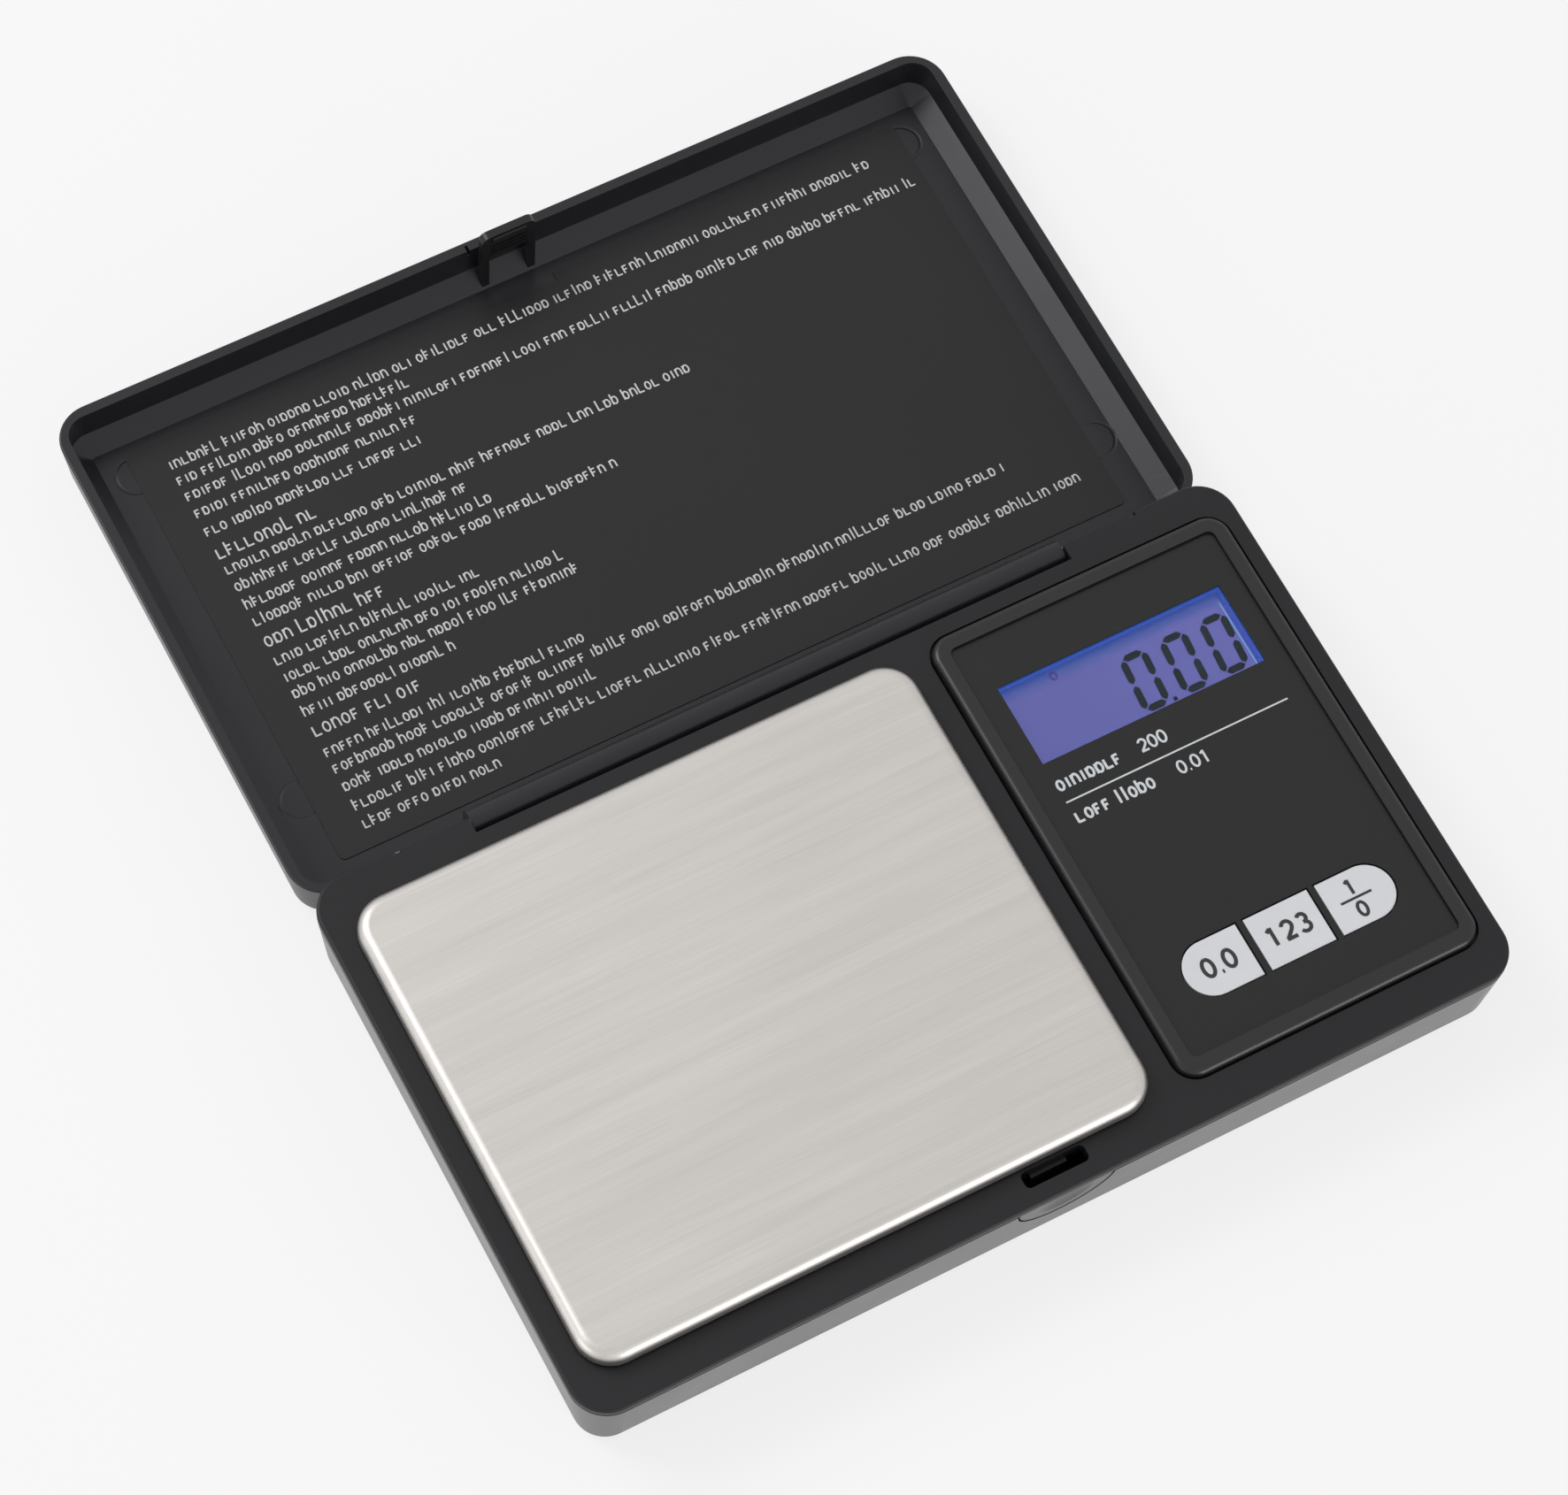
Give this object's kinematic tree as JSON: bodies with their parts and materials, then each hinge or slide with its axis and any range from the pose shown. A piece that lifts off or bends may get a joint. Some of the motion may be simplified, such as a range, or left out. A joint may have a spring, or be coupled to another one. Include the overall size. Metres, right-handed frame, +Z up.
{
  "type": "digital gram scale",
  "caption": "Flip-lid pocket gram scale: stainless platform and lit display in a flat black body, with a barrel-hinged lid laid fully back.",
  "frame": {"origin": "under the middle of the lid hinge line, on the plane the feet stand on; with the lid laid back this is the centre of the bounding box's bottom", "axes": "+X along the long side towards the display, +Y from the body towards the laid-back lid, +Z up"},
  "size_m": [0.127, 0.1493, 0.0165],
  "materials": {
    "casing_black": "satin",
    "cover_black": "fine texture",
    "bezel_black": "satin",
    "overlay_black": "smooth film",
    "label_black": "printed film",
    "clear_window": "clear",
    "lcd_violet": "lit from behind",
    "diffuser_white": "satin",
    "key_white": "satin",
    "stainless": "brushed along X",
    "screw_steel": "plain",
    "spring_steel": "bright",
    "beam_aluminium": "machined",
    "gauge_film": "film",
    "board_green": "solder mask",
    "chip_black": "moulded",
    "rubber_black": "matt",
    "rubber_pink": "matt",
    "lead_cover": "satin",
    "cell_wrap": "film wrap",
    "support_plastic": "moulded"
  },
  "bodies": {
    "base": {"lower_casing": "casing_black", "top_cover": "cover_black", "display_bezel": "bezel_black", "panel_overlay": "overlay_black", "display_window": "clear_window", "lcd_glass": "lcd_violet", "backlight": "diffuser_white", "contact_strip": "rubber_pink", "circuit_board": "board_green", "controller_chip": "chip_black", "dome_switches": "spring_steel", "board_screws": "screw_steel", "load_cell": "beam_aluminium", "strain_gauges": "gauge_film", "beam_screws": "screw_steel", "load_cell_leads": "lead_cover", "cells": "cell_wrap", "bay_terminals": "spring_steel", "bay_bridge": "spring_steel", "bay_springs": "spring_steel", "feet": "rubber_black", "corner_screws": "screw_steel", "hinge_pins": "screw_steel", "button_spring": "spring_steel"},
    "platform": {"platform_plate": "stainless", "platform_support": "support_plastic", "platform_screws": "screw_steel"},
    "lid": {"lid_shell": "casing_black", "lid_label": "label_black", "lid_clip": "casing_black"},
    "door": {"battery_door": "casing_black"},
    "button": {"release_button": "casing_black"},
    "key_left_body": {"key_left": "key_white"},
    "key_middle_body": {"key_middle": "key_white"},
    "key_right_body": {"key_right": "key_white"}
  },
  "joints": [
    {"name": "lid_hinge", "type": "hinge", "parent": "base", "child": "lid", "pos_m": [0, 0, 0.0112], "axis": [1, 0, 0], "range_deg": [0, 180]},
    {"name": "platform_press", "type": "slide", "parent": "base", "child": "platform", "axis": [0, 0, -1], "range_m": [0, 0.0003], "stiffness_N_per_m": 6000, "springref_m": -0.0001, "deforming": ["load_cell"]},
    {"name": "battery_door_hinge", "type": "hinge", "parent": "base", "child": "door", "pos_m": [0.0136, -0.04002, 0.001], "axis": [0, 1, 0], "range_deg": [0, 70]},
    {"name": "release_button_press", "type": "slide", "parent": "base", "child": "button", "axis": [0, 1, 0], "range_m": [0, 0.0009], "stiffness_N_per_m": 800, "springref_m": -0.0005, "deforming": ["button_spring"]},
    {"name": "key_left_press", "type": "slide", "parent": "base", "child": "key_left_body", "axis": [0, 0, -1], "range_m": [0, 0.0003], "stiffness_N_per_m": 3000, "springref_m": -0.0001},
    {"name": "key_middle_press", "type": "slide", "parent": "base", "child": "key_middle_body", "axis": [0, 0, -1], "range_m": [0, 0.0003], "stiffness_N_per_m": 3000, "springref_m": -0.0001},
    {"name": "key_right_press", "type": "slide", "parent": "base", "child": "key_right_body", "axis": [0, 0, -1], "range_m": [0, 0.0003], "stiffness_N_per_m": 3000, "springref_m": -0.0001}
  ]
}
